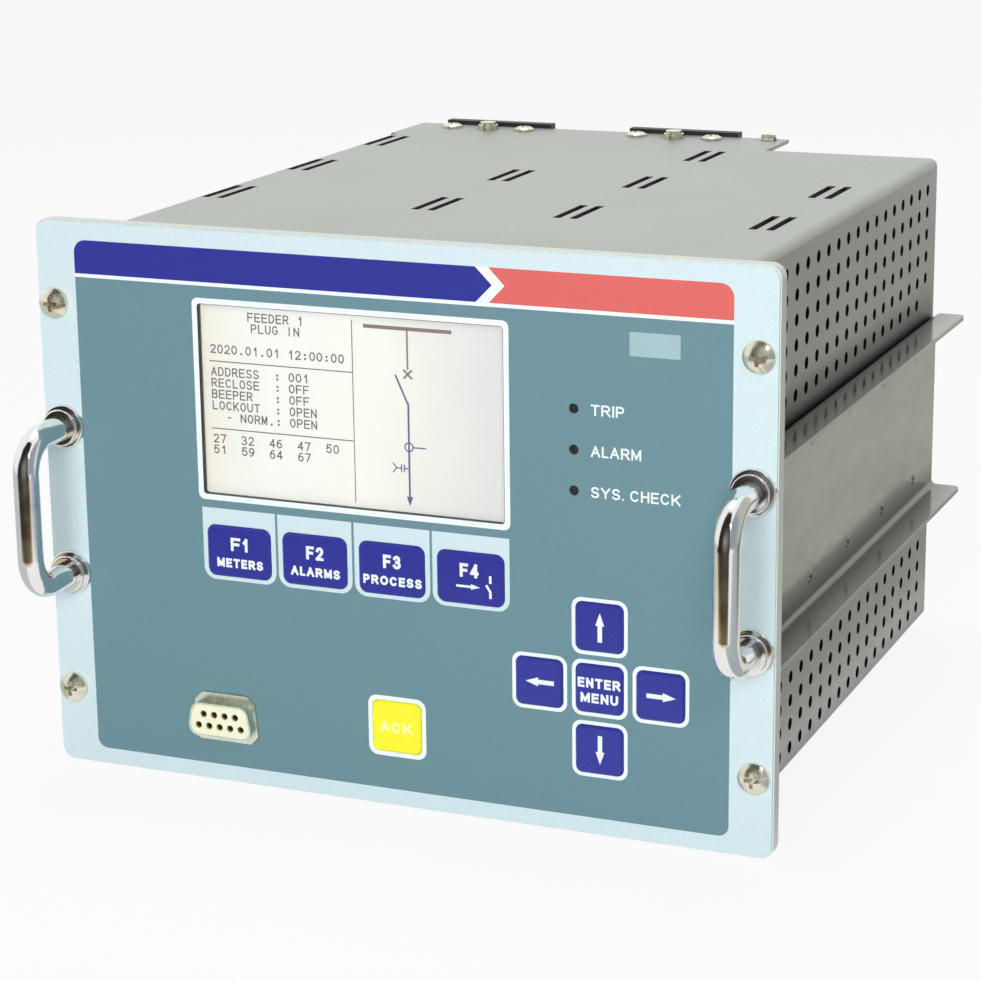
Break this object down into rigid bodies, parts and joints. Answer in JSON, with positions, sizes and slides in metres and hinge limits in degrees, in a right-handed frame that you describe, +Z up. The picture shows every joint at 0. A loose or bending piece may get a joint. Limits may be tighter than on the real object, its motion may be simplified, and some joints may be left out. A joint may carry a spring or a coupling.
{
  "type": "protection relay",
  "caption": "Plug-in protection relay with a printed front panel, display, press keys and bow handles on a perforated sheet housing with side guide rails and rear plug connectors.",
  "frame": {"origin": "Under the middle of the part, at the height of the front plate's lower edge.", "axes": "+X to the right seen from the front, +Y from the front panel to the rear, +Z up."},
  "size_m": [0.18, 0.22, 0.1325],
  "materials": {
    "foil": "satin printed polyester foil",
    "plate": "milled aluminium plate",
    "pane": "clear acrylic pane",
    "black_plastic": "moulded black plastic",
    "display": "pale liquid crystal glass",
    "key_blue": "satin dark blue plastic",
    "key_yellow": "satin yellow plastic",
    "lamp": "smoked light pipe",
    "tinned": "tinned steel sheet",
    "insert": "cream moulded insert",
    "contact": "plated brass",
    "chrome": "bright chrome plating",
    "zinc": "zinc plated steel",
    "sheet": "pale grey coated steel sheet",
    "rail": "bare plated steel sheet",
    "board": "green glass fibre laminate",
    "relay": "ivory relay case",
    "core": "laminated core and wound coil",
    "fins": "extruded aluminium"
  },
  "bodies": {
    "unit": {"front_overlay": "foil", "front_plate": "plate", "display_window": "pane", "display_bezel": "black_plastic", "display_glass": "display", "display_frame": "black_plastic", "key_switches": "black_plastic", "trip_lamp": "lamp", "alarm_lamp": "lamp", "check_lamp": "lamp", "service_shell": "tinned", "service_insert": "insert", "service_contacts": "contact", "left_handle": "chrome", "right_handle": "chrome", "handle_ferrules": "chrome", "handle_screws": "zinc", "mounting_screws": "zinc", "panel_screws": "zinc", "top_cover": "sheet", "bottom_tray": "sheet", "left_rail": "rail", "right_rail": "rail", "rail_rivets": "zinc", "rear_plate": "sheet", "rear_screws": "zinc", "left_plug": "black_plastic", "right_plug": "black_plastic", "plug_contacts": "contact", "plug_screws": "zinc", "earth_spring": "tinned", "operator_board": "board", "board_spacers": "zinc", "board_header": "black_plastic", "bus_board": "board", "card_sockets": "black_plastic", "upper_guides": "black_plastic", "lower_guides": "black_plastic", "analog_board": "board", "io_board": "board", "processor_board": "board", "power_board": "board", "current_transformers": "core", "voltage_transformers": "core", "output_relays": "relay", "processor_chips": "black_plastic", "backup_battery": "zinc", "power_transformer": "core", "bulk_capacitors": "black_plastic", "heat_sink": "fins"},
    "f1_button": {"f1_key": "key_blue"},
    "f2_button": {"f2_key": "key_blue"},
    "f3_button": {"f3_key": "key_blue"},
    "f4_button": {"f4_key": "key_blue"},
    "up_button": {"up_key": "key_blue"},
    "left_button": {"left_key": "key_blue"},
    "enter_button": {"enter_key": "key_blue"},
    "right_button": {"right_key": "key_blue"},
    "down_button": {"down_key": "key_blue"},
    "ack_button": {"ack_key": "key_yellow"}
  },
  "joints": [
    {"name": "f1_press", "type": "slide", "parent": "unit", "child": "f1_button", "axis": [0, 1, 0], "range_m": [0, 0.0004], "stiffness_N_per_m": 2000},
    {"name": "f2_press", "type": "slide", "parent": "unit", "child": "f2_button", "axis": [0, 1, 0], "range_m": [0, 0.0004], "stiffness_N_per_m": 2000},
    {"name": "f3_press", "type": "slide", "parent": "unit", "child": "f3_button", "axis": [0, 1, 0], "range_m": [0, 0.0004], "stiffness_N_per_m": 2000},
    {"name": "f4_press", "type": "slide", "parent": "unit", "child": "f4_button", "axis": [0, 1, 0], "range_m": [0, 0.0004], "stiffness_N_per_m": 2000},
    {"name": "up_press", "type": "slide", "parent": "unit", "child": "up_button", "axis": [0, 1, 0], "range_m": [0, 0.0004], "stiffness_N_per_m": 2000},
    {"name": "left_press", "type": "slide", "parent": "unit", "child": "left_button", "axis": [0, 1, 0], "range_m": [0, 0.0004], "stiffness_N_per_m": 2000},
    {"name": "enter_press", "type": "slide", "parent": "unit", "child": "enter_button", "axis": [0, 1, 0], "range_m": [0, 0.0004], "stiffness_N_per_m": 2000},
    {"name": "right_press", "type": "slide", "parent": "unit", "child": "right_button", "axis": [0, 1, 0], "range_m": [0, 0.0004], "stiffness_N_per_m": 2000},
    {"name": "down_press", "type": "slide", "parent": "unit", "child": "down_button", "axis": [0, 1, 0], "range_m": [0, 0.0004], "stiffness_N_per_m": 2000},
    {"name": "ack_press", "type": "slide", "parent": "unit", "child": "ack_button", "axis": [0, 1, 0], "range_m": [0, 0.0004], "stiffness_N_per_m": 2000}
  ]
}
